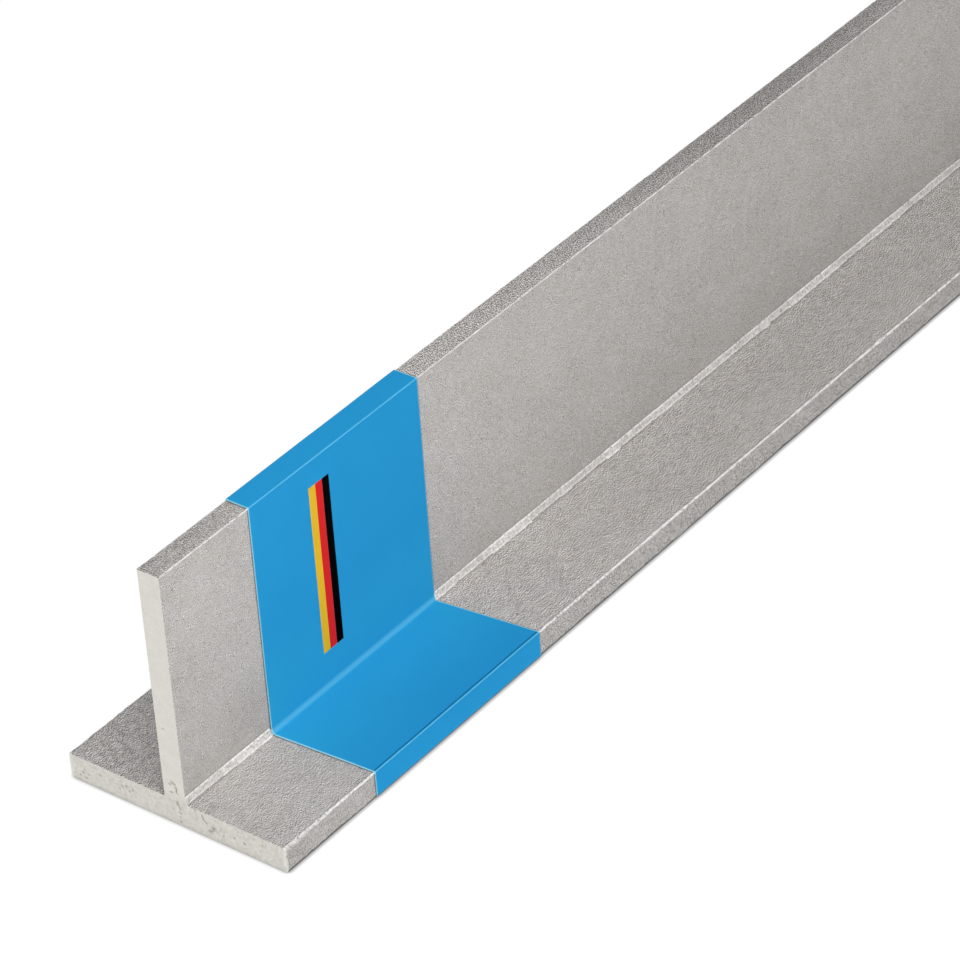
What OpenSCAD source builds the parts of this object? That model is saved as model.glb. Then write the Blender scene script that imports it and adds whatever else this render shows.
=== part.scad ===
// Laser-welded T-bar in stainless steel, with a printed film label around it near one end.
// One flat bar lies on the floor as the flange, and a second one stands on its middle as the web.
// The bar runs along X, cut square at both ends. Its weld bead is in the root on the -Y side.

/* [Bar] */
// Length of the cut bar
bar_length = 1000; // [200:1:3000]
// Width of the flange plate
flange_width = 50; // [30:0.5:100]
// Thickness of the flange plate
flange_thickness = 5.5; // [3:0.5:10]
// Height of the web plate, from the flange to its top edge
web_height = 49.5; // [20:0.5:100]
// Thickness of the web plate
web_thickness = 5; // [3:0.5:10]
// Radius of the long arrises of both plates
arris_radius = 0.3; // [0.1:0.1:1]

/* [Weld] */
// Leg of the weld bead, up the web and across the flange
weld_leg = 1; // [0.5:0.1:2]

/* [Label] */
// Thickness of the printed film
label_thickness = 0.2; // [0.1:0.05:0.5]
// Distance from the bar's -X end to the label
label_offset = 24; // [5:1:60]
// Length of bar that the label covers on the web
label_length = 48; // [20:1:80]
// Drift of the label's -X edge along the bar, from the root to the flange's edge
label_near_drift = 1.3; // [0:0.1:3]
// Drift of the label's +X edge along the bar, from the root to the flange's edge
label_far_drift = 2.4; // [0:0.1:3]
// Height above the floor at which the film stops on the flange's edges
label_floor_gap = 0.3; // [0.1:0.1:1]

/* [Hidden] */
$fn = 48;
ARC_STEPS = 6;

bar_height = flange_thickness + web_height;
near_end = -bar_length / 2;
// Half width of the web with a weld bead's leg beside it
root_reach = web_thickness / 2 + weld_leg;
// Leg of the film's outer face where it crosses the root, so that it stays one thickness off the bead
fold_leg = weld_leg - (2 - sqrt(2)) * label_thickness;
plate_steel = [0.71, 0.70, 0.68];
bead_steel = [0.86, 0.85, 0.83];
label_blue = [0.16, 0.58, 0.82];

// Draws a cross-section, Y to the right and Z up, and runs it along the bar from x = start
module along_bar(start, length)
    translate([start, 0, 0])
        rotate([90, 0, 90])
            linear_extrude(height = length)
                children();

// Rectangle that stands on the middle of its base, with rounded top corners and, if asked, lower ones
module plate_section(width, height, radius, round_foot = false) {
    foot = round_foot ? radius : 0;
    corner_heights = round_foot ? [radius, height - radius] : [height - radius];
    translate([-width / 2, foot])
        square([width, height - radius - foot]);
    translate([radius - width / 2, 0])
        square([width - 2 * radius, height]);
    for (side = [-1, 1], corner_height = corner_heights)
        translate([side * (width / 2 - radius), corner_height])
            circle(radius);
}

// Points of a quarter circle, clockwise from a start angle
function quarter_arc(centre, radius, start) =
    [for (step = [0:ARC_STEPS])
        let (angle = start - 90 * step / ARC_STEPS)
            centre + radius * [cos(angle), sin(angle)]];

// -Y half of a path over the T's section, a margin off the steel, from the film's foot to the web's top.
// It crosses the root at 45 degrees.
function half_path(margin, leg) =
    let (
        half_web = web_thickness / 2 + margin,
        seat = flange_thickness + margin,
        flange_arris = [arris_radius - flange_width / 2, flange_thickness - arris_radius],
        web_arris = [arris_radius - web_thickness / 2, bar_height - arris_radius],
        radius = arris_radius + margin
    )
    concat(
        [[-flange_width / 2 - margin, label_floor_gap]],
        quarter_arc(flange_arris, radius, 180),
        [[-half_web - leg, seat], [-half_web, seat + leg]],
        quarter_arc(web_arris, radius, 180)
    );

function reversed(path) = [for (i = [len(path) - 1:-1:0]) path[i]];

// Whole path, from the film's foot on the -Y side to the one on the +Y side
function film_path(margin, leg) =
    let (half = half_path(margin, leg))
        concat(half, [for (point = reversed(half)) [-point.x, point.y]]);

// The label seen from above: straight edges on the web, and edges that drift across the flange
module label_plan() {
    near = near_end + label_offset;
    far = near + label_length;
    edge = flange_width / 2 + label_thickness;
    near_points = [
        [near + label_near_drift, -edge],
        [near, -root_reach],
        [near, root_reach],
        [near + label_near_drift, edge]
    ];
    far_points = [
        [far + label_far_drift, edge],
        [far, root_reach],
        [far, -root_reach],
        [far + label_far_drift, -edge]
    ];
    polygon(concat(near_points, far_points));
}

// Lower flat bar, with all four long arrises eased
module flange_plate()
    color(plate_steel)
        along_bar(near_end, bar_length)
            plate_section(flange_width, flange_thickness, arris_radius, round_foot = true);

// Upright flat bar, which stands square on the middle of the flange
module web_plate()
    color(plate_steel)
        translate([0, 0, flange_thickness])
            along_bar(near_end, bar_length)
                plate_section(web_thickness, web_height, arris_radius);

// Narrow bead in the root on the -Y side, with a flat face at 45 degrees
module weld_seam()
    color(bead_steel)
        along_bar(near_end, bar_length)
            translate([-web_thickness / 2, flange_thickness])
                polygon([[0, 0], [-weld_leg, 0], [0, weld_leg]]);

// Film over the web's top, down both its sides, across the flange and down the flange's edges
module wrap_label()
    color(label_blue)
        intersection() {
            along_bar(near_end, bar_length)
                polygon(concat(
                    film_path(label_thickness, fold_leg),
                    reversed(film_path(0, weld_leg))
                ));
            linear_extrude(height = bar_height + 2 * label_thickness)
                label_plan();
        }

flange_plate();
web_plate();
weld_seam();
wrap_label();
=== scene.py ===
"""Laser-welded T-bar in stainless steel with a printed film label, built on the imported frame.

The bar lies along X with its labelled end at -X. Each CAD node is replaced by a finer mesh of
the same piece: two flat bars with worn arrises and sawn ends, the weld bead and the film label.
Lengths in mm are written as a number times MM.
"""
import math
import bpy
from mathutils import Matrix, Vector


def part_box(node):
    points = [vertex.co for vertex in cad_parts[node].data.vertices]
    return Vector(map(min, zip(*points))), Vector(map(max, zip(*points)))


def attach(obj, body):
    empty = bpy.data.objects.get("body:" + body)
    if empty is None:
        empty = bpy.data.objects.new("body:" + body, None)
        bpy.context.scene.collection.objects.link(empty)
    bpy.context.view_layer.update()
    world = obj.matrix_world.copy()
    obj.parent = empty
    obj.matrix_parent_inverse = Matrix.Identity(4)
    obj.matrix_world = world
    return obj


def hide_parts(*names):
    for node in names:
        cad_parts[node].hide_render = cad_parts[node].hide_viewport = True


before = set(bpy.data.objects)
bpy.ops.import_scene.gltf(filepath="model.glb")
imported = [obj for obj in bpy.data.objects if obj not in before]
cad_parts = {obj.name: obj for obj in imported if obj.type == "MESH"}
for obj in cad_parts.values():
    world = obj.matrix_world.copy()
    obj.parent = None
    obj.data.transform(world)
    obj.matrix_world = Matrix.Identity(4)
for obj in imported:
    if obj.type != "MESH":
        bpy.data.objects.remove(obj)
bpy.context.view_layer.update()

from types import SimpleNamespace

import bpy
import numpy as np
from mathutils import Matrix, Vector
from mathutils.geometry import delaunay_2d_cdt

MM = 0.001

# ---- places taken from the frame
flange_low, flange_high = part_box("flange_plate")
web_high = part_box("web_plate")[1]
bead_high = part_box("weld_seam")[1]
film_low, film_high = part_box("wrap_label")

NEAR_END = flange_low[0]
FAR_END = flange_high[0]
FLANGE_HALF = flange_high[1]
FLANGE_TOP = flange_high[2]
WEB_HALF = web_high[1]
BAR_TOP = web_high[2]
BEAD_LEG = bead_high[2] - FLANGE_TOP
FILM_THICKNESS = film_high[2] - BAR_TOP
FILM_FOOT = film_low[2]

# The film's edges drift along the bar between the web and the flange's edges.
FILM_NEAR_DRIFT = 1.3 * MM
FILM_FAR_DRIFT = 2.4 * MM
FILM_NEAR = film_low[0]
FILM_FAR = film_high[0] - FILM_FAR_DRIFT

# ---- detail sizes
# Distance between the sections that are swept along the bar, and along its bead
STATION_STEP = 0.5 * MM
BEAD_STEP = 0.25 * MM
SAW_BEVEL = 0.08 * MM
FLANGE_ARRIS = 0.32 * MM
FOOT_ARRIS = 0.35 * MM
WEB_ARRIS = 0.1 * MM
# Flat strips that an arris's round is made of, on the steel and on the film
ARC_STEPS = 4
FILM_ARC_STEPS = 5
# Distance from an arris to the points that keep its shading off the faces beside it
GUARD = 0.14 * MM


# ---- random curves
def smooth_step(t):
    """Eases a value from 0 to 1."""
    return t * t * (3 - 2 * t)


def wander(x, step, seed):
    """Smooth random curve between -1 and 1 along x, with a fresh value every step."""
    place = (x - NEAR_END) / step + 8
    knots = np.random.default_rng(seed).uniform(-1, 1, int(place.max()) + 8)
    index = np.floor(place).astype(int)
    part = smooth_step(place - index)
    return knots[index] * (1 - part) + knots[index + 1] * part


def steps(x, shortest, longest, blend, seed):
    """Random levels between -1 and 1 along x, each held for a while, with short slopes between."""
    rng = np.random.default_rng(seed)
    level = rng.uniform(-1, 1)
    result = np.full_like(x, level)
    start = x.min() - longest
    while start < x.max():
        start += rng.uniform(shortest, longest)
        new_level = rng.uniform(-1, 1)
        part = smooth_step(np.clip((x - start) / blend, 0, 1))
        result += (new_level - level) * part
        level = new_level
    return result


def nicks(x, count, shortest, longest, seed):
    """Sparse rounded dents along x, each between 0 and 1 deep."""
    rng = np.random.default_rng(seed)
    result = np.zeros_like(x)
    for _ in range(count):
        place = rng.uniform(x.min(), x.max())
        length = rng.uniform(shortest, longest)
        depth = rng.uniform(0.2, 1)
        result = np.maximum(result, depth * np.exp(-((x - place) / length) ** 2))
    return result


def patches(u, v, step, seed):
    """Smooth random surface between -1 and 1 over two lengths, with a fresh value every step."""
    a = u / step - np.floor(np.min(u / step)) + 1
    b = v / step - np.floor(np.min(v / step)) + 1
    knots = np.random.default_rng(seed).uniform(-1, 1, (int(a.max()) + 3, int(b.max()) + 3))
    i = np.floor(a).astype(int)
    j = np.floor(b).astype(int)
    s = smooth_step(a - i)
    t = smooth_step(b - j)
    low = knots[i, j] * (1 - s) + knots[i + 1, j] * s
    high = knots[i, j + 1] * (1 - s) + knots[i + 1, j + 1] * s
    return low * (1 - t) + high * t


# ---- mesh helpers
def make_object(name, vertices, faces, slots, materials, attributes, crease=35):
    """Makes a smooth-shaded object, sharp where faces meet at more than the crease angle."""
    mesh = bpy.data.meshes.new(name)
    mesh.from_pydata(np.asarray(vertices).tolist(), [], faces)
    for material in materials:
        mesh.materials.append(material)
    mesh.polygons.foreach_set("material_index", slots)
    for key, values in attributes.items():
        layer = mesh.attributes.new(key, "FLOAT", "POINT")
        layer.data.foreach_set("value", np.asarray(values, dtype=np.float32))
    mesh.shade_smooth()
    mesh.set_sharp_from_angle(angle=math.radians(crease))
    mesh.validate()
    mesh.update()
    piece = bpy.data.objects.new(name, mesh)
    bpy.context.scene.collection.objects.link(piece)
    return piece


def sweep_faces(rings, points):
    """Quads between neighbouring rings of a closed, swept section."""
    quads = []
    for ring in range(rings - 1):
        here = ring * points
        there = here + points
        for point in range(points):
            following = (point + 1) % points
            quads.append((here + point, here + following, there + following, there + point))
    return quads


class Ring:
    """Collects the points of a closed section, for every station along the bar at once.

    Each point has three levels for the materials: wear and a painted highlight on rubbed arrises,
    edge on a bar's narrow faces, and painted shade in thin dark lines.
    """

    def __init__(self, stations):
        self.count = len(stations)
        self.y = []
        self.z = []
        self.levels = []

    def point(self, y, z, wear=0.0, edge=0.0, grime=0.0):
        y, z, *levels = [np.broadcast_to(value, self.count) for value in (y, z, wear, edge, grime)]
        self.y.append(y)
        self.z.append(z)
        self.levels.append(levels)

    def corner(self, y, z, out_y, out_z, reach_y, reach_z, edge_y, edge_z, from_flat,
               wear=1.0, fade=0.0, grime=0.0, line=0.0):
        """Rounded corner, with guard points that keep its shading off the faces beside it.

        edge_y and edge_z say how much the flat face and the upright face are a bar's narrow edge.
        fade is the share of the wear and painted highlight that is lost down to the upright face, and
        line is the painted shade of a thin line on the flat face beside the corner.
        """
        centre_y = y - out_y * reach_y
        centre_z = z - out_z * reach_z
        points = [
            (centre_y - out_y * 3 * GUARD, z, 0.0, edge_y, 0.0),
            (centre_y - out_y * GUARD, z, 0.0, edge_y, line),
        ]
        for step in range(ARC_STEPS + 1):
            part = step / ARC_STEPS
            turn = math.radians(90 * part)
            points.append((
                centre_y + out_y * reach_y * math.sin(turn),
                centre_z + out_z * reach_z * math.cos(turn),
                wear * (1 - fade * part),
                edge_y * (1 - part) + edge_z * part,
                grime,
            ))
        points.append((y, centre_z - out_z * GUARD, 0.0, edge_z, 0.0))
        for values in points if from_flat else reversed(points):
            self.point(*values)


# ---- end faces
# Open marks where the weld's fusion stopped, in a broken line down the sawn face, and last a scratch.
# Each is a path, across the bar and up from the floor, and its half width, in mm.
FUSION_MARKS = [
    ([(1.0, 8.7), (0.75, 8.6)], 0.15),
    ([(0.7, 9.2), (0.6, 9.1)], 0.1),
    ([(0.4, 9.2), (-0.35, 9.0)], 0.18),
    ([(-0.25, 8.4), (-0.55, 8.3), (-0.45, 7.4)], 0.16),
    ([(1.0, 6.9), (0.45, 6.95)], 0.13),
    ([(-0.45, 7.1), (-0.9, 7.0)], 0.09),
    ([(-0.25, 5.15), (-0.6, 4.5)], 0.18),
    ([(-0.7, 4.3), (-0.9, 3.6)], 0.13),
    ([(-0.6, 3.0), (-1.05, 2.8)], 0.15),
    ([(-0.5, 2.0), (-0.8, 1.8)], 0.14),
    ([(-0.7, 1.0), (-0.8, 0.6)], 0.12),
    ([(-6.0, 4.6), (-6.25, 3.7), (-7.0, 3.15)], 0.14),
]
# Small round pits in the sawn face: place across the bar, height above the floor and radius, in mm
SAWN_PITS = [
    (-4.5, 5.0, 0.2), (-8.5, 2.6, 0.46), (-7.6, 1.7, 0.38), (-8.2, 2.0, 0.3), (-10.6, 1.9, 0.18),
    (-13.2, 2.6, 0.2), (-15.5, 2.4, 0.22), (-19.6, 3.7, 0.16), (0.9, 21.0, 0.18),
    (22.0, 2.2, 0.24), (21.4, 1.2, 0.22), (22.8, 1.4, 0.2), (21.6, 3.0, 0.16), (20.7, 2.2, 0.18),
    (17.8, 3.3, 0.16), (13.4, 2.2, 0.2), (12.6, 3.1, 0.18), (11.7, 3.5, 0.26), (11.0, 2.6, 0.2),
    (10.2, 3.2, 0.22),
]
MARK_DEPTH = 0.16 * MM
SAW_WAVE = 0.012 * MM
# Distance between the points of a sawn face round the weld, and away from it
WELD_MESH = 0.16 * MM
PLAIN_MESH = 0.8 * MM
WELD_ZONE = (np.array([-9.5, 0.0]) * MM, np.array([3.2, 9.6]) * MM)


def distance_to_path(y, z, path):
    """How far each point is from a path of straight lines."""
    nearest = np.full(np.shape(y), np.inf)
    for (y0, z0), (y1, z1) in zip(path[:-1], path[1:]):
        length = (y1 - y0) ** 2 + (z1 - z0) ** 2
        part = np.clip(((y - y0) * (y1 - y0) + (z - z0) * (z1 - z0)) / length, 0, 1)
        nearest = np.minimum(nearest, np.hypot(y - y0 - part * (y1 - y0), z - z0 - part * (z1 - z0)))
    return nearest


def sawn_marks(y, z):
    """How strongly each point of a sawn face lies in an open mark or a pit, from 0 to 1."""
    y = y / MM
    z = z / MM
    mark = np.zeros(np.shape(y))
    for path, width in FUSION_MARKS:
        away = distance_to_path(y, z, path)
        mark = np.maximum(mark, np.exp(-(away / width) ** 2))
    for pit_y, pit_z, size in SAWN_PITS:
        away = np.hypot(y - pit_y, z - pit_z)
        mark = np.maximum(mark, 0.95 * np.exp(-(away / size) ** 2))
    return mark


def inside(y, z, outline, margin):
    """Which points lie inside a closed outline, at least the margin away from it."""
    found = np.zeros(len(y), dtype=bool)
    nearest = np.full(len(y), np.inf)
    for (y0, z0), (y1, z1) in zip(outline, np.roll(outline, -1, axis=0)):
        if z0 != z1:
            crosses = (z0 > z) != (z1 > z)
            found ^= crosses & (y < (y1 - y0) * (z - z0) / (z1 - z0) + y0)
        nearest = np.minimum(nearest, distance_to_path(y, z, [(y0, z0), (y1, z1)]))
    return found & (nearest > margin)


def cap_points(outline, seed):
    """Points for the inside of an end face, close together round the weld and each pit."""
    rng = np.random.default_rng(seed)
    zones = [(WELD_MESH, *WELD_ZONE)]
    for y, z, size in SAWN_PITS:
        pit = np.array([y, z]) * MM
        zones.append((0.5 * size * MM, pit - 2 * size * MM, pit + 2 * size * MM))
    zones.append((PLAIN_MESH, outline.min(axis=0), outline.max(axis=0)))
    chosen = []
    for index, (step, low, high) in enumerate(zones):
        y, z = np.meshgrid(np.arange(low[0], high[0], step), np.arange(low[1], high[1], step))
        y = y.ravel() + rng.uniform(-0.2, 0.2, y.size) * step
        z = z.ravel() + rng.uniform(-0.2, 0.2, z.size) * step
        keep = inside(y, z, outline, 0.6 * step)
        for _, done_low, done_high in zones[:index]:
            keep &= ~((y > done_low[0]) & (y < done_high[0]) & (z > done_low[1]) & (z < done_high[1]))
        chosen.append(np.column_stack([y[keep], z[keep]]))
    return np.concatenate(chosen)


def cap(outline, first_ring, first_new, x, inward, seed):
    """Triangulates an end face, whose outline is the ring of vertices from first_ring on."""
    points = np.concatenate([outline, cap_points(outline, seed)])
    count = len(outline)
    _, _, faces, origin, _, _ = delaunay_2d_cdt(
        [Vector((y / MM, z / MM)) for y, z in points], [], [list(range(count))], 1, 1e-6)
    extra = points[count:]
    depth = sawn_marks(extra[:, 0], extra[:, 1])
    wave = SAW_WAVE * (1 + patches(extra[:, 0], extra[:, 1], 4 * MM, seed + 1))
    extra_x = x + inward * (wave + MARK_DEPTH * depth)
    vertices = np.column_stack([extra_x, extra])
    triangles = []
    for face in faces:
        picked = [origin[corner][0] for corner in face]
        picked = [first_ring + p if p < count else first_new + p - count for p in picked]
        triangles.append(tuple(picked if inward < 0 else reversed(picked)))
    return vertices, triangles, depth


def sawn_bar(name, ring, stations, rest_on, body, sawn):
    """Sweeps a section along the bar and closes it with two bevelled, sawn ends.

    rest_on says which of a ring's points are hidden in a joint, where an end has no bevel.
    """
    y = np.array(ring.y).T
    z = np.array(ring.z).T
    points = y.shape[1]
    centre_z = (z.min() + z.max()) / 2
    outlines = []
    for i in (0, -1):
        inset = np.where(rest_on(y[i], z[i]), 0.0, SAW_BEVEL)
        half_y = np.abs(y[i]).max()
        half_z = (z[i].max() - z[i].min()) / 2
        in_y = y[i] * (1 - inset / half_y)
        in_z = centre_z + (z[i] - centre_z) * (1 - inset / half_z)
        outlines.append(np.column_stack([in_y, in_z]))
    sections = [outlines[0], *np.dstack([y, z]), outlines[1]]
    places = [NEAR_END, *stations, FAR_END]
    rings = [np.column_stack([np.full(points, x), section]) for x, section in zip(places, sections)]
    vertices = np.concatenate(rings)
    faces = sweep_faces(len(rings), points)
    slots = [0] * len(faces)
    levels = np.array(ring.levels).transpose(1, 2, 0)
    levels = np.concatenate([levels[:, :1], levels, levels[:, -1:]], axis=1)
    # The bar's side edges are rubbed down both sawn ends and painted pale there as a highlight, and
    # its other end edges are crisp.
    on_side = np.abs(y[0]) > FLANGE_HALF - 0.5 * MM
    for end in (0, 1, -2, -1):
        levels[0, end] = np.where(on_side, 0.7, 0.0)
    levels = levels.reshape(3, -1)
    mark = np.zeros(len(vertices))
    last = (len(rings) - 1) * points
    ends = ((0, outlines[0], NEAR_END, 1, 31), (last, outlines[1], FAR_END, -1, 32))
    for first, outline, x, inward, seed in ends:
        extra, triangles, depth = cap(outline, first, len(vertices), x, inward, seed)
        vertices = np.concatenate([vertices, extra])
        faces += triangles
        slots += [1] * len(triangles)
        levels = np.concatenate([levels, np.zeros((3, len(extra)))], axis=1)
        mark = np.concatenate([mark, depth])
    attributes = dict(zip(("wear", "edge", "grime", "mark"), (*levels, mark)))
    return make_object(name, vertices, faces, slots, [body, sawn], attributes)


# ---- the two flat bars
def bar_stations():
    """Places along the bar of the sections that are swept, between the two bevels."""
    count = round((FAR_END - NEAR_END - 2 * SAW_BEVEL) / STATION_STEP)
    return np.linspace(NEAR_END + SAW_BEVEL, FAR_END - SAW_BEVEL, count + 1)


def ragged(x, radius, seed):
    """Radius of an arris along the bar: rolled unevenly, with a few nicks."""
    slow = 0.25 * wander(x, 7 * MM, seed)
    quick = 0.35 * wander(x, 0.9 * MM, seed + 1)
    dents = 0.4 * nicks(x, 120, 0.4 * MM, 1.5 * MM, seed + 2)
    return radius * (1 + slow + quick + dents)


def make_flange(body, sawn):
    """Lower bar, with a worn foot corner and a rolled arris at its labelled end."""
    x = bar_stations()
    ring = Ring(x)
    # One foot corner of the labelled end is worn off to a longer slope.
    worn = np.exp(-((x - NEAR_END) / (5 * MM)) ** 2)
    foot_left = ragged(x, FOOT_ARRIS, 11)
    foot_right = ragged(x, FOOT_ARRIS, 14)
    top_left = ragged(x, FLANGE_ARRIS, 17)
    top_right = ragged(x, FLANGE_ARRIS, 20)
    worn_out = foot_left + worn * 1.1 * MM
    worn_up = foot_left + worn * 0.4 * MM
    inner = FLANGE_HALF - 3 * MM
    for y in (-inner, 0.0, inner):
        ring.point(y, 0.0)
    # Painted shade: both foot corners carry a dark line for the shadow where the bar meets the floor,
    # and a thin line of painted shade lies beside each top arris.
    ring.corner(FLANGE_HALF, 0.0, 1, -1, worn_out, worn_up, 0, 1, True, wear=0.0, grime=1.0)
    ring.corner(FLANGE_HALF, FLANGE_TOP, 1, 1, top_left, top_left, 0, 1, False, wear=0.7, line=0.6)
    # Painted shade darkens the root and a strip of the flange beside the bead.
    hidden = WEB_HALF - 0.1 * MM
    root = WEB_HALF + 0.2 * MM
    bead_side = WEB_HALF + 0.55 * MM
    clear = WEB_HALF + 1.2 * MM
    for y, grime in ((inner, 0.0), (clear, 0.0), (root, 0.5), (hidden, 0.5), (0.0, 0.0),
                     (-hidden, 0.5), (-bead_side, 0.4), (-clear, 0.0), (-inner, 0.0)):
        ring.point(y, FLANGE_TOP, grime=grime)
    # Near the labelled end this arris is rolled over, down to a wider and duller slope on the side.
    rolled = np.exp(-((x - NEAR_END) / (9 * MM)) ** 2) * (0.8 + 0.2 * wander(x, 3 * MM, 23))
    rolled_out = top_right * (0.75 + 0.5 * rolled)
    rolled_down = top_right * (0.75 + 2.4 * rolled)
    ring.corner(-FLANGE_HALF, FLANGE_TOP, -1, 1, rolled_out, rolled_down, 0, 1, True,
                wear=0.95 - 0.4 * rolled, fade=0.85 * rolled, line=0.4)
    ring.corner(-FLANGE_HALF, 0.0, -1, -1, foot_right, foot_right, 0, 1, False, wear=0.0, grime=1.0)

    def under_web(y, z):
        return (np.abs(y) < WEB_HALF) & (z > 0.5 * FLANGE_TOP)

    return sawn_bar("flange_bar", ring, x, under_web, body, sawn)


def make_web(body, sawn):
    """Upright bar, with small arrises along its top."""
    x = bar_stations()
    ring = Ring(x)
    left = ragged(x, WEB_ARRIS, 41)
    right = ragged(x, WEB_ARRIS, 44)
    # Painted shade darkens the web's foot in the root and a line just above the bead.
    ring.point(-WEB_HALF, FLANGE_TOP, grime=0.6)
    ring.point(0.0, FLANGE_TOP)
    ring.point(WEB_HALF, FLANGE_TOP, grime=0.6)
    ring.point(WEB_HALF, FLANGE_TOP + 0.5 * MM)
    heights = [FLANGE_TOP + part * (BAR_TOP - FLANGE_TOP) for part in (0.06, 0.35, 0.65, 0.94)]
    for z in heights:
        ring.point(WEB_HALF, z)
    ring.corner(WEB_HALF, BAR_TOP, 1, 1, left, left, 1, 0, False)
    ring.point(0.0, BAR_TOP, edge=1.0)
    ring.corner(-WEB_HALF, BAR_TOP, -1, 1, right, right, 1, 0, True)
    for z in reversed(heights):
        ring.point(-WEB_HALF, z)
    ring.point(-WEB_HALF, FLANGE_TOP + 2.2 * MM)
    ring.point(-WEB_HALF, FLANGE_TOP + 1.6 * MM, grime=0.3)

    def on_flange(y, z):
        return z < FLANGE_TOP + 0.1 * MM

    return sawn_bar("web_bar", ring, x, on_flange, body, sawn)


# ---- the weld bead
BEAD_POINTS = 9
# How far the bead's hidden faces lie inside the two bars
BEAD_SUNK = 0.06 * MM


def hump(part, middle, width):
    """Rounded hump, 1 at its middle."""
    return math.exp(-((part - middle) / width) ** 2)


def make_bead(metal, sawn):
    """Weld bead in the root, with a lip along both edges and a ragged lower one."""
    count = round((FAR_END - NEAR_END) / BEAD_STEP)
    x = np.linspace(NEAR_END, FAR_END, count + 1)
    # Under the film the bead is a little smaller, so that nothing pokes through it.
    half_film = (FILM_FAR - FILM_NEAR) / 2
    free = smooth_step(np.clip((np.abs(x - FILM_NEAR - half_film) - half_film) / (0.5 * MM), 0, 1))
    # Shares of the CAD's leg that the bead gains clear of the film, up the web and over the flange
    high = 0.85 + 0.03 * wander(x, 2.5 * MM, 51) + 0.08 * steps(x, 3 * MM, 16 * MM, 0.6 * MM, 52)
    low = 0.12 + 0.07 * wander(x, 0.9 * MM, 53) + 0.2 * steps(x, 2 * MM, 13 * MM, 0.3 * MM, 54)
    up = (0.85 + free * high) * BEAD_LEG
    out = (0.34 + free * low) * BEAD_LEG
    hidden_y = np.full(len(x), -WEB_HALF + BEAD_SUNK)
    hidden_z = np.full(len(x), FLANGE_TOP - BEAD_SUNK)
    parts = [point / (BEAD_POINTS - 1) for point in range(BEAD_POINTS)]
    rows = [np.column_stack([x, hidden_y, FLANGE_TOP + up])]
    for point, part in enumerate(parts):
        y = -WEB_HALF - out * part
        z = FLANGE_TOP + up * (1 - part)
        # A lip runs along both edges of the bead, and the middle between them is uneven.
        lip = 0.07 * MM * (hump(part, 0.1, 0.09) + hump(part, 0.88, 0.09))
        middle = math.sin(math.pi * part)
        across = np.full(len(x), point * 0.16 * MM)
        rough = 0.035 * MM * middle * patches(x, across, 0.34 * MM, 55)
        blobs = 0.05 * MM * middle * patches(x, across, 1.3 * MM, 56)
        proud = lip * (0.7 + 0.3 * wander(x, 3 * MM, 57 + point)) + rough + blobs
        proud = proud * (0.3 + 0.7 * free) * math.sqrt(0.5)
        if part in (0, 1):
            proud = proud * 0
        rows.append(np.column_stack([x, y - proud, z + proud]))
    rows.append(np.column_stack([x, -WEB_HALF - out, hidden_z]))
    rows.append(np.column_stack([x, hidden_y, hidden_z]))
    points = len(rows)
    vertices = np.array(rows).transpose(1, 0, 2).reshape(-1, 3)
    faces = sweep_faces(len(x), points)
    last = (len(x) - 1) * points
    slots = [0] * len(faces) + [1, 1]
    faces.append(tuple(reversed(range(points))))
    faces.append(tuple(range(last, last + points)))
    # The lips along both edges carry the bead's painted highlight.
    lips = [max(hump(part, 0.08, 0.1), hump(part, 0.9, 0.1)) for part in parts]
    wear = np.tile([0.0, *lips, 0.0, 0.0], len(x))
    attributes = {"wear": wear, "mark": np.zeros(len(wear))}
    return make_object("weld_bead", vertices, faces, slots, [metal, sawn], attributes, crease=60)


# ---- the film label
FILM_STEP = 0.6 * MM
# Radius inside the film's folds over the arrises, and the guard distance beside them
FILM_FOLD = 0.08 * MM
FILM_GUARD = 0.08 * MM
# Width of the pale rim along the film's cut edges, partly their own colour and partly a painted
# highlight
FILM_RIM = 0.1 * MM
# Reach of the soft bend over the bead, across the flange and up the web
FOLD_OUT = 0.38 * MM
FOLD_UP = 0.95 * MM
# How unevenly the film's cut edges run, and how unevenly it lies: in broad dips and in small ones
EDGE_DRIFT = 0.05 * MM
BROAD_DIP = 0.035 * MM
SMALL_DIP = 0.01 * MM
# The film's underside stays this far off the steel.
FILM_LIFT = 0.01 * MM


def arris_arc(centre_y, centre_z, radius):
    """Path points round an arris, from its upright face to its flat one, with a painted highlight
    palest in the middle.
    """
    points = []
    for step in range(FILM_ARC_STEPS + 1):
        turn = math.radians(90 * step / FILM_ARC_STEPS)
        pale = math.sin(math.pi * step / FILM_ARC_STEPS) ** 2
        y = centre_y - radius * math.cos(turn)
        points.append((y, centre_z + radius * math.sin(turn), pale, 0.0))
    return points


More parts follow.
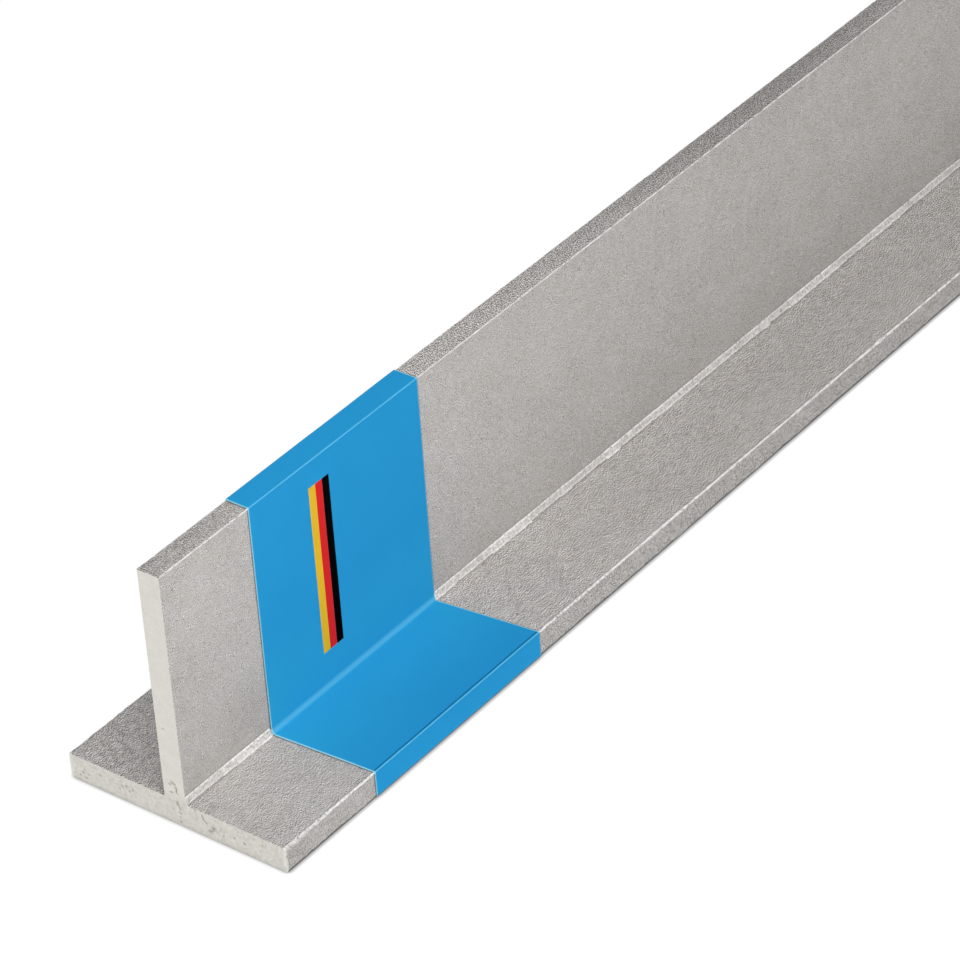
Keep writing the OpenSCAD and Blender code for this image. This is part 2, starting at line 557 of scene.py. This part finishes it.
def film_half(margin):
    """-Y half of the film's path over the steel, from its foot to the middle of the web's top.

    Each point has its y and z, how pale its painted highlight is there, and how dark its painted
    shade is in a crease.
    """
    side = -FLANGE_HALF - margin
    seat = FLANGE_TOP + margin
    face = -WEB_HALF - margin
    top = BAR_TOP + margin
    radius = FILM_FOLD + margin
    path = [(side, FILM_FOOT, 0.0, 0.0), (side, seat - radius - FILM_GUARD, 0.0, 0.0)]
    path += arris_arc(side + radius, seat - radius, radius)
    # Painted shade: a dark line on the flange's top just inside the film's fold over the arris.
    for guards, crease in ((1, 1.0), (3, 1.0), (5, 0.0)):
        path.append((side + radius + guards * FILM_GUARD, seat, 0.0, crease))
    # The fold in the root is one soft bend over the bead, painted paler along its middle as a
    # highlight.
    path.append((face - 1.5 * FOLD_OUT, seat, 0.0, 0.0))
    for out, up, pale in ((1.0, 0.06, 0.3), (0.72, 0.28, 0.7), (0.4, 0.6, 0.7), (0.1, 0.96, 0.3)):
        path.append((face - out * FOLD_OUT, seat + up * FOLD_UP, pale, 0.0))
    path += [(face, seat + 1.3 * FOLD_UP, 0.0, 0.0), (face, top - radius - FILM_GUARD, 0.0, 0.0)]
    path += arris_arc(face + radius, top - radius, radius)
    path += [(face + radius + FILM_GUARD, top, 0.0, 0.0), (0.0, top, 0.0, 0.0)]
    return path


def spread(path, step):
    """Adds points to a path so that no two neighbours are further apart than the step."""
    path = np.array(path)
    result = [path[0]]
    for first, second in zip(path[:-1], path[1:]):
        count = max(1, math.ceil(math.hypot(*(second - first)[:2]) / step))
        for i in range(1, count + 1):
            result.append(first + (second - first) * i / count)
    return result


def film_edges(y):
    """X of the film's near and far edge at each distance across the bar."""
    reach = WEB_HALF + BEAD_LEG
    across = np.clip((np.abs(y) - reach) / (FLANGE_HALF - reach), 0, 1)
    return FILM_NEAR + FILM_NEAR_DRIFT * across, FILM_FAR + FILM_FAR_DRIFT * across


def film_faces(rows, points):
    """Quads of the film's printed side, its underside and its four cut edges, with their slots."""
    shift = rows * points
    faces = []
    slots = []
    for i in range(rows - 1):
        for j in range(points - 1):
            a = i * points + j
            quad = (a, a + points, a + points + 1, a + 1)
            faces.append(quad)
            faces.append(tuple(shift + v for v in reversed(quad)))
            slots += [0, 1]
    edges = []
    for j in range(points - 1):
        edges.append((j, j + 1))
        edges.append(((rows - 1) * points + j + 1, (rows - 1) * points + j))
    for i in range(rows - 1):
        edges.append((i * points + points - 1, (i + 1) * points + points - 1))
        edges.append(((i + 1) * points, i * points))
    for a, b in edges:
        faces.append((a, b, b + shift, a + shift))
        slots.append(1)
    return faces, slots


def make_film(film, cut):
    """Printed film as a closed skin over the steel."""
    half = np.array(spread(film_half(FILM_THICKNESS), FILM_STEP))
    other_half = half[-2::-1] * (-1, 1, 1, 1)
    outer, levels = np.hsplit(np.concatenate([half, other_half]), 2)
    along = np.gradient(outer, axis=0)
    along /= np.linalg.norm(along, axis=1)[:, None]
    out = np.column_stack([-along[:, 1], along[:, 0]])
    travelled = np.concatenate([[0], np.cumsum(np.linalg.norm(np.diff(outer, axis=0), axis=1))])
    stations = round((FILM_FAR - FILM_NEAR) / FILM_STEP)
    near, far = film_edges(outer[:, 0])
    rim = FILM_RIM / (FILM_FAR - FILM_NEAR)
    part = np.concatenate([[0, rim], np.linspace(2 * rim, 1 - 2 * rim, stations + 1), [1 - rim, 1]])
    near = near + EDGE_DRIFT * (1 + wander(NEAR_END + travelled, 6 * MM, 71)) / 2
    far = far - EDGE_DRIFT * (1 + wander(NEAR_END + travelled, 6 * MM, 72)) / 2
    x = near + (far - near) * part[:, None]
    s = np.broadcast_to(travelled, x.shape)
    # The film lies a little unevenly, always inside its nominal thickness.
    sink = BROAD_DIP * (1 + patches(x, s, 7 * MM, 73)) / 2
    sink = sink + SMALL_DIP * (1 + patches(x, s, 2.2 * MM, 74)) / 2
    y = outer[:, 0] - out[:, 0] * sink
    z = outer[:, 1] - out[:, 1] * sink
    top = np.stack([x, y, z], axis=-1)
    inner = outer - out * (FILM_THICKNESS - FILM_LIFT)
    inner_y = np.broadcast_to(inner[:, 0], x.shape)
    inner_z = np.broadcast_to(inner[:, 1], x.shape)
    under = np.stack([x, inner_y, inner_z], axis=-1)
    vertices = np.concatenate([top.reshape(-1, 3), under.reshape(-1, 3)])
    rows, points = x.shape
    faces, slots = film_faces(rows, points)
    wear, crease = np.tile(levels.T, 2 * rows)
    # The cut edges show a pale rim, partly their own colour and partly a painted highlight, strongest
    # across the web's top and the flange, and hardly on upright faces.
    on_rim = np.zeros((2, rows, points))
    on_rim[:, [0, 1, -2, -1], :] = 0.25 + 0.75 * np.abs(along[:, 0])
    attributes = {"wear": wear, "crease": crease, "rim": on_rim.ravel()}
    return make_object("film_label", vertices, faces, slots, [film, cut], attributes, crease=50)


# ---- shader helpers
class Shader:
    """Adds and links the nodes of one material, or of the world."""

    def __init__(self, name, owner=None):
        self.material = owner or bpy.data.materials.new(name)
        self.material.use_nodes = True
        self.nodes = self.material.node_tree.nodes
        self.links = self.material.node_tree.links
        self.nodes.clear()

    def node(self, kind, **settings):
        made = self.nodes.new("ShaderNode" + kind)
        for key, value in settings.items():
            setattr(made, key, value)
        return made

    def feed(self, socket, value):
        """Links a socket to another one, or sets it to a plain value."""
        if isinstance(value, bpy.types.NodeSocket):
            self.links.new(value, socket)
        else:
            socket.default_value = value

    def vector_math(self, operation, first, second):
        made = self.node("VectorMath", operation=operation)
        self.feed(made.inputs[0], first)
        self.feed(made.inputs[1], second)
        return made.outputs[0]

    def place(self, stretch=(1, 1, 1), turn=0.0):
        """Object coordinates in mm, shortened along each axis by how far the pattern is stretched.

        turn is the angle in degrees, about Z, from the bar to the pattern's own X axis.
        """
        turned = self.node("VectorRotate", rotation_type="Z_AXIS")
        self.feed(turned.inputs["Vector"], self.node("TexCoord").outputs["Object"])
        self.feed(turned.inputs["Angle"], math.radians(-turn))
        return self.vector_math("MULTIPLY", turned.outputs[0], [1 / (MM * s) for s in stretch])

    def axis(self, vector, name):
        split = self.node("SeparateXYZ")
        self.feed(split.inputs[0], vector)
        return split.outputs[name]

    def attribute(self, name):
        return self.node("Attribute", attribute_name=name).outputs["Fac"]

    def math(self, operation, first, second=0.0, third=0.0):
        made = self.node("Math", operation=operation)
        for socket, value in zip(made.inputs, (first, second, third)):
            self.feed(socket, value)
        return made.outputs[0]

    def times(self, first, second):
        return self.math("MULTIPLY", first, second)

    def texture(self, kind, vector, **settings):
        made = self.node(kind)
        self.feed(made.inputs["Vector"], vector)
        for key, value in settings.items():
            self.feed(made.inputs[key], value)
        return made

    def noise(self, vector, scale, detail=2, roughness=0.5):
        made = self.texture("TexNoise", vector, Scale=scale, Detail=detail, Roughness=roughness)
        return made.outputs["Fac"]

    def embossed(self, vector, scale, shift):
        """Noise less the same noise a little way off: thin light marks with dark ones beside them."""
        light = self.noise(vector, scale, 1, 0.7)
        dark = self.noise(self.vector_math("ADD", vector, shift), scale, 1, 0.7)
        return self.math("SUBTRACT", light, dark)

    def cells(self, vector, scale):
        """A random level between 0 and 1 for each cell of a pattern."""
        return self.axis(self.texture("TexVoronoi", vector, Scale=scale).outputs["Color"], "X")

    def band(self, value, low, high, to_low=0.0, to_high=1.0, smooth=True):
        """Maps a value from one range to another, clamped, with soft ends."""
        made = self.node("MapRange", interpolation_type="SMOOTHSTEP" if smooth else "LINEAR")
        for socket, number in zip(made.inputs, (value, low, high, to_low, to_high)):
            self.feed(socket, number)
        return made.outputs["Result"]

    def pits(self, vector, scale, radius, share):
        """Small round spots, 1 in the middle, in a share of a pattern's cells."""
        cells = self.texture("TexVoronoi", vector, Scale=scale)
        chosen = self.band(self.axis(cells.outputs["Color"], "X"), 1 - share, 1 - share + 0.02)
        spot = self.band(cells.outputs["Distance"], radius * scale, 0.35 * radius * scale)
        return self.times(chosen, spot)

    def weigh(self, start, *terms):
        """A start value plus each pattern, taken about its middle, times its weight."""
        total = start
        for pattern, middle, weight in terms:
            total = self.math("MULTIPLY_ADD", self.math("SUBTRACT", pattern, middle), weight, total)
        return total

    def mix(self, factor, first, second, kind="RGBA"):
        made = self.node("Mix", data_type=kind)
        for name, value in (("Factor", factor), ("A", first), ("B", second)):
            self.feed(made.inputs[name], value)
        return made.outputs["Result"]

    def tint(self, colour, gain):
        """A colour times a gain that varies over the surface."""
        made = self.node("VectorMath", operation="SCALE")
        self.feed(made.inputs[0], colour if isinstance(colour, bpy.types.NodeSocket) else colour[:3])
        self.feed(made.inputs["Scale"], gain)
        return made.outputs[0]

    def seen(self):
        """1 on rays that show a surface to the camera, straight, reflected or through glass."""
        path = self.node("LightPath")
        straight = self.math("MAXIMUM", path.outputs["Is Camera Ray"], path.outputs["Is Glossy Ray"])
        return self.math("MAXIMUM", straight, path.outputs["Is Transmission Ray"])

    def show(self, shader, kind="OutputMaterial"):
        self.links.new(shader, self.node(kind).inputs["Surface"])

    def finish(self, colour, roughness, height, metallic, **constants):
        """Principled shader with a height in mm as its bump."""
        shader = self.node("BsdfPrincipled")
        self.feed(shader.inputs["Base Color"], colour)
        self.feed(shader.inputs["Roughness"], roughness)
        self.feed(shader.inputs["Metallic"], metallic)
        for key, value in constants.items():
            self.feed(shader.inputs[key.replace("_", " ")], value)
        bump = self.node("Bump")
        self.feed(bump.inputs["Strength"], 1)
        self.feed(bump.inputs["Distance"], MM)
        self.feed(bump.inputs["Height"], height)
        self.feed(shader.inputs["Normal"], bump.outputs["Normal"])
        self.show(shader.outputs[0])
        return self.material


def grey(level, warmth):
    """Neutral grey with a little less blue than red."""
    return (level * (1 + warmth), level, level * (1 - 0.8 * warmth), 1)


# ---- materials
# How the pickled faces of the two flat bars look:
#   tone, edge_tone    levels of the broad faces and of the narrow edges
#   grain, edge_grain  how strongly these vary
#   grow, edge_grow    how much stronger they vary further down the bar
#   emboss             strength of the light marks that stand beside dark ones, painted highlight and shade of fine relief
#   stretch, turn      how far these are drawn out, and at what angle to the bar, in degrees
#   lean               how far each light mark stands off its dark one, in mm
#   speckle, worms     strength of the fine specks and of thin dark winding marks
#   patchy             how unevenly all these are spread
#   depth              height of the marks in the surface, in mm
#   rub      level of the rubbed arrises, pale with their painted highlight
#   dull               how much darker the broad faces get further down the bar, a painted falloff of the light
#   sway               how much the narrow edges turn darker and lighter along the bar, and darker further down it, as painted light
FLANGE_LOOK = SimpleNamespace(
    tone=0.479, edge_tone=0.434, grain=0.9, edge_grain=0.7, grow=0.35, edge_grow=0.8,
    emboss=4.0, stretch=1.2, turn=-4, lean=(-0.03, -0.12, 0), speckle=0.0, worms=0.0, patchy=0.25,
    depth=0.3, rub=0.88, dull=0.11, sway=0.0)
WEB_LOOK = SimpleNamespace(
    tone=0.468, edge_tone=0.434, grain=0.38, edge_grain=1.4, grow=0.25, edge_grow=1.3,
    emboss=4.0, stretch=1.0, turn=0, lean=(-0.06, 0, 0.11), speckle=2.9, worms=0.6, patchy=0.9,
    depth=0.12, rub=0.8, dull=0.06, sway=0.135)
# Level that the glints are taken about
GLINT_MIDDLE = 0.11
# Length in mm of the sway along the narrow edges, and its phase in radians at the bar's middle
SWAY_LENGTH = 230
SWAY_PHASE = 0.48


def down_bar(s, place, start, end, *levels):
    """Ramp along the bar between two distances in mm from its labelled end."""
    return s.band(s.axis(place, "X"), NEAR_END / MM + start, NEAR_END / MM + end, *levels)


def face_change(s, look, place, marks, grains, glints, further, lively):
    """Rise and fall of a broad face's level: marks, grains and winding lines, in uneven patches."""
    sparkle = s.band(s.axis(place, "Y"), -1.0, 1.0, -0.3, 0.35)
    change = s.weigh(0.0, (grains, 0.5, 0.3), (s.noise(place, 1.0, 2, 0.6), 0.5, 0.68),
                     (s.noise(place, 4.4, 0), 0.5, look.speckle), (glints, GLINT_MIDDLE, sparkle))
    # The embossed marks paint highlight and shade side by side, as fine relief lit from one side.
    change = s.math("MULTIPLY_ADD", change, lively, s.times(marks, look.emboss))
    winding = s.math("ABSOLUTE", s.math("SUBTRACT", s.noise(place, 1.5, 2, 0.55), 0.5))
    winding = s.band(winding, 0.0, 0.055, 1.0, 0.0)
    change = s.weigh(change, (winding, 0.2, -look.worms))
    patch = s.noise(place, 0.4)
    strength = s.weigh(1.0, (further, 0.0, look.grow), (patch, 0.5, 3.0 * look.patchy))
    return s.times(change, strength)


def edge_gain(s, look, place, glints, further, duller):
    """Level of a narrow edge against the broad faces: sharper marks, and streaks along the bar."""
    # These embossed marks paint highlight and shade side by side, as fine relief lit from one side.
    marks = s.embossed(place, 3.6, (0.09, 0.05, 0))
    change = s.weigh(0.0, (marks, 0.0, 2.7), (s.noise(place, 4.4, 0), 0.5, 1.5),
                     (glints, GLINT_MIDDLE, 0.3))
    change = s.times(change, s.math("MULTIPLY_ADD", further, look.edge_grow, 1.0))
    change = s.weigh(change, (s.cells(s.place((1.3, 1, 1)), 2.8), 0.5, 0.36))
    # Painted light: a slow change of the narrow edges' level along the bar, darker further down it,
    # with the painted falloff.
    swell = s.math("MULTIPLY_ADD", s.axis(place, "X"), math.tau / SWAY_LENGTH, SWAY_PHASE)
    swell = s.math("SINE", swell)
    streaks = s.noise(s.place((14, 1, 1)), 1.6, 3, 0.6)
    level = s.weigh(look.edge_tone / look.tone, (swell, 0.0, look.sway), (further, 0.0, -look.sway),
                    (duller, 0.0, -0.05), (streaks, 0.5, 0.28))
    return s.times(level, s.math("MULTIPLY_ADD", change, look.edge_grain, 1.0))


def darkening(s, place, pits, specks):
    """Share of the light that is lost in pits and specks, and to painted shade in thin lines and
    beside the film.
    """
    dirt = s.band(s.noise(place, 0.8, 2, 0.6), 0.25, 0.5, 0.55, 0.75)
    dark = s.math("MAXIMUM", s.times(pits, 0.55), s.times(specks, 0.3))
    dark = s.math("MAXIMUM", dark, s.times(s.attribute("grime"), dirt))
    return s.math("MAXIMUM", dark, s.times(beside_film(s, place), 0.62))


def pickled_steel(name, look):
    """Pickled face of a flat bar: matt pebbles, faint clouds, small pits, and rubbed arrises painted
    pale as a highlight.
    """
    s = Shader(name)
    place = s.place()
    drawn = s.place((look.stretch, 1, 1), look.turn)
    pebbles = s.noise(drawn, 2.6, 1, 0.5)
    marks = s.embossed(drawn, 3.6, look.lean)
    grains = s.cells(place, 3.6)
    pits = s.pits(place, 0.28, 0.26, 0.6)
    specks = s.pits(place, 0.9, 0.13, 0.25)
    glints = s.pits(place, 0.8, 0.16, 0.3)
    clouds = s.noise(place, 0.08, 3, 0.6)
    hue = s.noise(place, 0.3)
    further = down_bar(s, place, 15, 100)
    # Painted falloff: the bar is painted a little darker away from its labelled end, as the light
    # falls off.
    duller = down_bar(s, place, 45, 190)
    # The side without the bead is more mottled, and painted a little darker as shade from the web.
    lively = s.band(s.axis(place, "Y"), -1.0, 1.0, 1.0, 1.6)
    change = face_change(s, look, place, marks, grains, glints, further, lively)
    on_face = s.weigh(1.0, (change, 0.0, look.grain), (duller, 0.0, -look.dull))
    on_edge = edge_gain(s, look, place, glints, further, duller)
    gain = s.mix(s.attribute("edge"), on_face, on_edge, "FLOAT")
    # Its last term paints the web's shade on the side without the bead.
    gain = s.weigh(gain, (clouds, 0.5, 0.2), (hue, 0.5, 0.12), (lively, 1.0, -0.12))
    # The faces are stained darker for a few mm beside the saw cut.
    ragged_x = s.math("MULTIPLY_ADD", hue, 14.0, s.axis(place, "X"))
    stain = s.band(ragged_x, NEAR_END / MM + 3, NEAR_END / MM + 14, 0.09, 0.0)
    gain = s.math("SUBTRACT", gain, stain)
    gain = s.times(gain, s.math("SUBTRACT", 1.0, darkening(s, place, pits, specks)))
    steel = s.mix(s.band(hue, 0.35, 0.65), grey(look.tone, 0.06), grey(look.tone, 0.04))
    # Rubbed arrises: real wear with lower roughness, and a pale colour that paints their highlight.
    rubbed = s.band(s.noise(place, 1.3, 3, 0.7), 0.3, 0.55)
    rubbed = s.times(s.attribute("wear"), rubbed)
    colour = s.mix(rubbed, s.tint(steel, gain), grey(look.rub, 0.02))
    roughness = s.weigh(0.64, (pebbles, 0.5, 0.2), (rubbed, 0.0, -0.16))
    height = s.weigh(0.0, (pebbles, 0.5, 0.5 * look.depth), (marks, 0.0, 0.5 * look.depth),
                     (grains, 0.5, 0.1 * look.depth), (pits, 0.0, -0.05), (specks, 0.0, -0.02))
    return s.finish(colour, roughness, height, 0.25)


def beside_film(s, place):
    """1 on the steel right beside the film's cut edges, for a painted shadow of the film's edge, and
    0 further off.
    """
    x = s.axis(place, "X")
    reach = s.math("ABSOLUTE", s.axis(place, "Y"))
    across = s.band(reach, (WEB_HALF + BEAD_LEG) / MM, FLANGE_HALF / MM, smooth=False)
    near_edge = s.math("MULTIPLY_ADD", across, FILM_NEAR_DRIFT / MM, FILM_NEAR / MM)
    far_edge = s.math("MULTIPLY_ADD", across, FILM_FAR_DRIFT / MM, FILM_FAR / MM)
    gap = s.math("MAXIMUM", s.math("SUBTRACT", near_edge, x), s.math("SUBTRACT", x, far_edge))
    return s.band(gap, 0.42, 0.14)


def sawn_steel():
    """Fresh cut face: pale, with faint saw lines, cloudy patches, open marks and small pits."""
    s = Shader("sawn_steel")
    place = s.place()
    mark = s.attribute("mark")
    wear = s.attribute("wear")
    clouds = s.noise(place, 0.45, 3, 0.6)
    lines = s.noise(s.place((1, 9, 1)), 3.5)
    fine = s.noise(place, 3.5, 2, 0.6)
    specks = s.pits(place, 0.4, 0.12, 0.16)
    stained = s.band(s.noise(place, 0.3), 0.5, 0.68)
    # The lower bar's end is duller and more blotched than the upright one's.
    low = s.band(s.axis(place, "Z"), FLANGE_TOP / MM + 2, FLANGE_TOP / MM - 0.5)
    blotches = s.band(s.noise(place, 0.75, 3, 0.65), 0.54, 0.68)
    zones = s.band(s.noise(place, 0.35), 0.5, 0.62)
    grit = s.times(zones, s.band(s.noise(place, 3.0, 2, 0.7), 0.54, 0.66))
    mottle = s.weigh(0.075, (blotches, 0.0, 0.09), (grit, 0.0, 0.24),
                     (s.noise(place, 1.2, 4, 0.75), 0.5, 0.6), (fine, 0.5, 0.5))
    dull = s.times(low, mottle)
    gain = s.weigh(1.0, (clouds, 0.5, 0.16), (lines, 0.5, 0.11), (fine, 0.5, 0.28),
                   (specks, 0.0, -0.3), (dull, 0.0, -1.0))
    pale = s.mix(stained, (0.69, 0.675, 0.625, 1), (0.68, 0.663, 0.605, 1))
    colour = s.tint(pale, gain)
    colour = s.mix(s.times(mark, 0.8), colour, (0.19, 0.175, 0.135, 1))
    # Edges of the sawn face are painted pale: wear with a painted highlight.
    colour = s.mix(s.times(wear, 0.5), colour, (0.86, 0.85, 0.82, 1))
    roughness = s.weigh(0.46, (fine, 0.5, 0.15))
    height = s.weigh(0.0, (lines, 0.5, 0.008), (fine, 0.5, 0.008), (specks, 0.0, -0.02))
    return s.finish(colour, roughness, height, 1.0)


def bead_steel():
    """Weld metal: bright, with its lips along both edges painted white as highlights, and dark specks
    between them.
    """
    s = Shader("bead_steel")
    place = s.place()
    wear = s.attribute("wear")
    rough = s.noise(place, 1.7, 3, 0.65)
    grains = s.cells(place, 3.4)
    specks = s.pits(place, 0.8, 0.2, 0.35)
    gain = s.weigh(1.0, (rough, 0.5, 0.9), (grains, 0.5, 0.5), (specks, 0.0, -0.55))
    # Painted highlight: the lips turn near white.
    lip = s.times(wear, s.band(rough, 0.34, 0.54))
    colour = s.mix(lip, s.tint(grey(0.66, 0.034), gain), grey(0.98, 0.024))
    roughness = s.weigh(0.5, (rough, 0.5, 0.2))
    height = s.weigh(0.0, (rough, 0.5, 0.08), (grains, 0.5, 0.03), (specks, 0.0, -0.05))
    return s.finish(colour, roughness, height, 0.3)


# Stripe printed on the web's -Y face: three plain bands side by side, running up the web
STRIPE_START = FILM_NEAR + 15.95 * MM
BAND_WIDTH = 1.9 * MM
STRIPE_LOW = FLANGE_TOP + 7.9 * MM
STRIPE_HIGH = FLANGE_TOP + 44.3 * MM
STRIPE_INKS = [(0.75, 0.462, 0.025, 1), (0.67, 0.02, 0.022, 1), (0.001, 0.001, 0.001, 1)]
# Half width in mm of the blur at the edge of each ink
INK_BLUR = 0.04


def between(s, value, low, high):
    """1 where a value in mm lies between two others, with blurred ends."""
    return s.times(s.band(value, low - INK_BLUR, low + INK_BLUR),
                  s.band(value, high + INK_BLUR, high - INK_BLUR))


def print_stripe(s, x, y, z, colour):
    """Prints the stripe over a colour."""
    tall = between(s, z, STRIPE_LOW / MM, STRIPE_HIGH / MM)
    tall = s.times(tall, s.math("LESS_THAN", y, 0.0))
    for index, ink in enumerate(STRIPE_INKS):
        left = (STRIPE_START + index * BAND_WIDTH) / MM
        wide = between(s, x, left, left + BAND_WIDTH / MM)
        colour = s.mix(s.times(wide, tall), colour, ink)
    return colour


def film_blue():
    """Printed film: flat blue with a three-colour stripe, with painted light that makes it paler
    where it is bent, near the root and on the web's top.
    """
    s = Shader("film_blue")
    place = s.place()
    x, y, z = [s.axis(place, name) for name in "XYZ"]
    clouds = s.noise(place, 0.12)
    fine = s.noise(place, 2.4)
    # Painted light: the blue is made a little lighter towards the fold in the root, and along the
    # web's top.
    away = s.math("ADD", s.math("SUBTRACT", s.math("ABSOLUTE", y), WEB_HALF / MM),
                  s.math("SUBTRACT", z, FLANGE_TOP / MM))
    near_fold = s.band(away, 24.0, 0.0)
    on_top = s.band(z, BAR_TOP / MM - 0.1, BAR_TOP / MM)
    ink = s.mix(near_fold, (0.0205, 0.294, 0.605, 1), (0.027, 0.36, 0.66, 1))
    colour = s.tint(ink, s.weigh(1.0, (clouds, 0.5, 0.05), (fine, 0.5, 0.03), (on_top, 0.0, 0.14)))
    # Painted light on the film: pale highlights on its bends, dark shade in the crease by the
    # flange's arris, and the pale rim.
    for attribute, share, bent_ink in (
        ("wear", 0.55, (0.2, 0.58, 0.78, 1)),
        ("crease", 0.75, (0.004, 0.07, 0.16, 1)),
        ("rim", 1.0, (0.3, 0.72, 0.88, 1)),
    ):
        colour = s.mix(s.times(s.attribute(attribute), share), colour, bent_ink)
    colour = print_stripe(s, x, y, z, colour)
    roughness = s.weigh(0.42, (clouds, 0.5, 0.1), (fine, 0.5, 0.06))
    height = s.weigh(0.0, (fine, 0.5, 0.003), (clouds, 0.5, 0.02))
    return s.finish(colour, roughness, height, 0.0, Specular_IOR_Level=0.004)


def film_cut():
    """Cut edge and underside of the film, paler than its print."""
    s = Shader("film_cut")
    place = s.place()
    fine = s.noise(place, 2.4)
    colour = s.tint((0.3, 0.75, 0.95), s.weigh(1.0, (fine, 0.5, 0.2)))
    return s.finish(colour, s.weigh(0.5, (fine, 0.5, 0.1)), s.weigh(0.0, (fine, 0.5, 0.01)), 0.0)


# ---- floor, light and camera
# A little over 1, so that the floor is white with the share of its own shading that it keeps
FLOOR_WHITE = 1.08
FLOOR_SHADING = 0.12
CONTACT_SHADOW = 1.2 * MM
FLOOR_REACH = 4.0
WORLD_LIGHT = 0.315


def white_to_lens(s, shader):
    """White to the camera and in reflections, with some of the floor's shading and a thin shadow."""
    white = s.node("Emission")
    s.feed(white.inputs["Strength"], FLOOR_WHITE)
    contact = s.node("AmbientOcclusion", samples=16)
    s.feed(contact.inputs["Distance"], CONTACT_SHADOW)
    # The shadow is fainter in front of the sawn end, which the light comes from.
    before_end = down_bar(s, s.place(), 1, -0.5, 0.1, 0.5)
    shadow = s.band(contact.outputs["AO"], 0.35, 0.95, before_end, 1.0, smooth=False)
    s.feed(white.inputs["Color"], shadow)
    mixed = s.node("MixShader")
    s.feed(mixed.inputs[0], s.times(s.seen(), 1 - FLOOR_SHADING))
    s.feed(mixed.inputs[1], shader)
    s.feed(mixed.inputs[2], white.outputs[0])
    return mixed.outputs[0]


def make_floor():
    """Plain pale floor under the bar."""
    s = Shader("floor_white")
    paint = s.node("BsdfDiffuse")
    s.feed(paint.inputs["Color"], (0.92, 0.92, 0.92, 1))
    s.show(white_to_lens(s, paint.outputs[0]))
    corners = [(x * FLOOR_REACH, y * FLOOR_REACH, 0) for x, y in ((-1, -1), (1, -1), (1, 1), (-1, 1))]
    floor = make_object("floor", corners, [(0, 1, 2, 3)], [0], [s.material], {})


def make_world():
    """White to the camera and in reflections, and a plain dimmer light on the object."""
    world = bpy.data.worlds.new("studio")
    bpy.context.scene.world = world
    s = Shader("studio", world)
    background = s.node("Background")
    s.feed(background.inputs["Color"], (1, 1, 1, 1))
    s.feed(background.inputs["Strength"], s.mix(s.seen(), WORLD_LIGHT, 1.0, "FLOAT"))
    s.show(background.outputs[0], "OutputWorld")


def make_lamp(name, toward, distance, size_x, size_y, level, aim=Vector((0, 0, 0))):
    """Softbox that lights a white face turned to it to a level, as a share of full white."""
    lamp = bpy.data.lights.new(name, "AREA")
    lamp.shape = "RECTANGLE"
    lamp.size = size_x
    lamp.size_y = size_y
    # Its radiance is energy / (area * pi), and a white face in its light shows
    # radiance * area / distance^2 / pi.
    lamp.energy = level * (math.pi * distance) ** 2
    holder = bpy.data.objects.new(name, lamp)
    direction = Vector(toward).normalized()
    holder.location = aim + direction * distance
    holder.rotation_euler = direction.to_track_quat("Z", "Y").to_euler()
    bpy.context.scene.collection.objects.link(holder)


def make_lamps():
    """Soft studio light, mostly from the right of the labelled end."""
    near_end = Vector((NEAR_END, 0, 0))
    make_lamp("key_right", (-0.35, -0.62, 0.7), 1.1, 1.2, 0.8, 0.262, near_end)
    make_lamp("near_end", (-0.45, -0.6, 0.65), 0.5, 0.35, 0.35, 0.42, near_end)
    make_lamp("fill_front", (-0.85, -0.3, 0.5), 2.2, 1.4, 1.4, 0.14)
    make_lamp("top", (0.0, -0.55, 1.0), 2.4, 2.4, 1.6, 0.15)
    # Low behind the bar, where it lights only what the photo hides.
    make_lamp("fill_back", (0.25, 1.0, 0.06), 2.2, 1.6, 0.5, 0.3)


# Camera fitted to the bar's straight edges in the photo, with its angles in degrees
CAMERA_LENS = 176.0
CAMERA_AIM = Vector((NEAR_END + 88.0 * MM, -WEB_HALF, 23.2 * MM))
CAMERA_DISTANCE = 872.6 * MM
CAMERA_AZIMUTH = -50.68
CAMERA_ELEVATION = 34.77
CAMERA_ROLL = 4.11


def make_camera():
    """Camera at the photo's viewpoint, aimed at the middle of what the photo shows."""
    camera = bpy.data.cameras.new("photo_camera")
    camera.lens = CAMERA_LENS
    camera.sensor_width = 36
    camera.clip_start = 0.01
    azimuth = math.radians(CAMERA_AZIMUTH)
    elevation = math.radians(CAMERA_ELEVATION)
    back = Vector((
        math.sin(azimuth) * math.cos(elevation),
        -math.cos(azimuth) * math.cos(elevation),
        math.sin(elevation),
    ))
    turn = back.to_track_quat("Z", "Y").to_matrix().to_4x4()
    roll = Matrix.Rotation(math.radians(-CAMERA_ROLL), 4, "Z")
    holder = bpy.data.objects.new("photo_camera", camera)
    holder.matrix_world = Matrix.Translation(CAMERA_AIM + back * CAMERA_DISTANCE) @ turn @ roll
    bpy.context.scene.collection.objects.link(holder)
    bpy.context.scene.camera = holder


# ---- build
def main():
    plate = pickled_steel("pickled_flange", FLANGE_LOOK)
    upright = pickled_steel("pickled_web", WEB_LOOK)
    sawn = sawn_steel()
    pieces = [
        (make_flange(plate, sawn), "flange_plate", "plate_steel"),
        (make_web(upright, sawn), "web_plate", "plate_steel"),
        (make_bead(bead_steel(), sawn), "weld_seam", "weld_steel"),
        (make_film(film_blue(), film_cut()), "wrap_label", "label_film"),
    ]
    for piece, node, slot in pieces:
        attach(piece, "root")
        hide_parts(node)
        # The blue print isn't mirrored in the steel beside it.
        piece.visible_glossy = node != "wrap_label"
    make_floor()
    make_world()
    make_lamps()
    make_camera()
    bpy.context.scene.view_settings.view_transform = "Standard"


main()
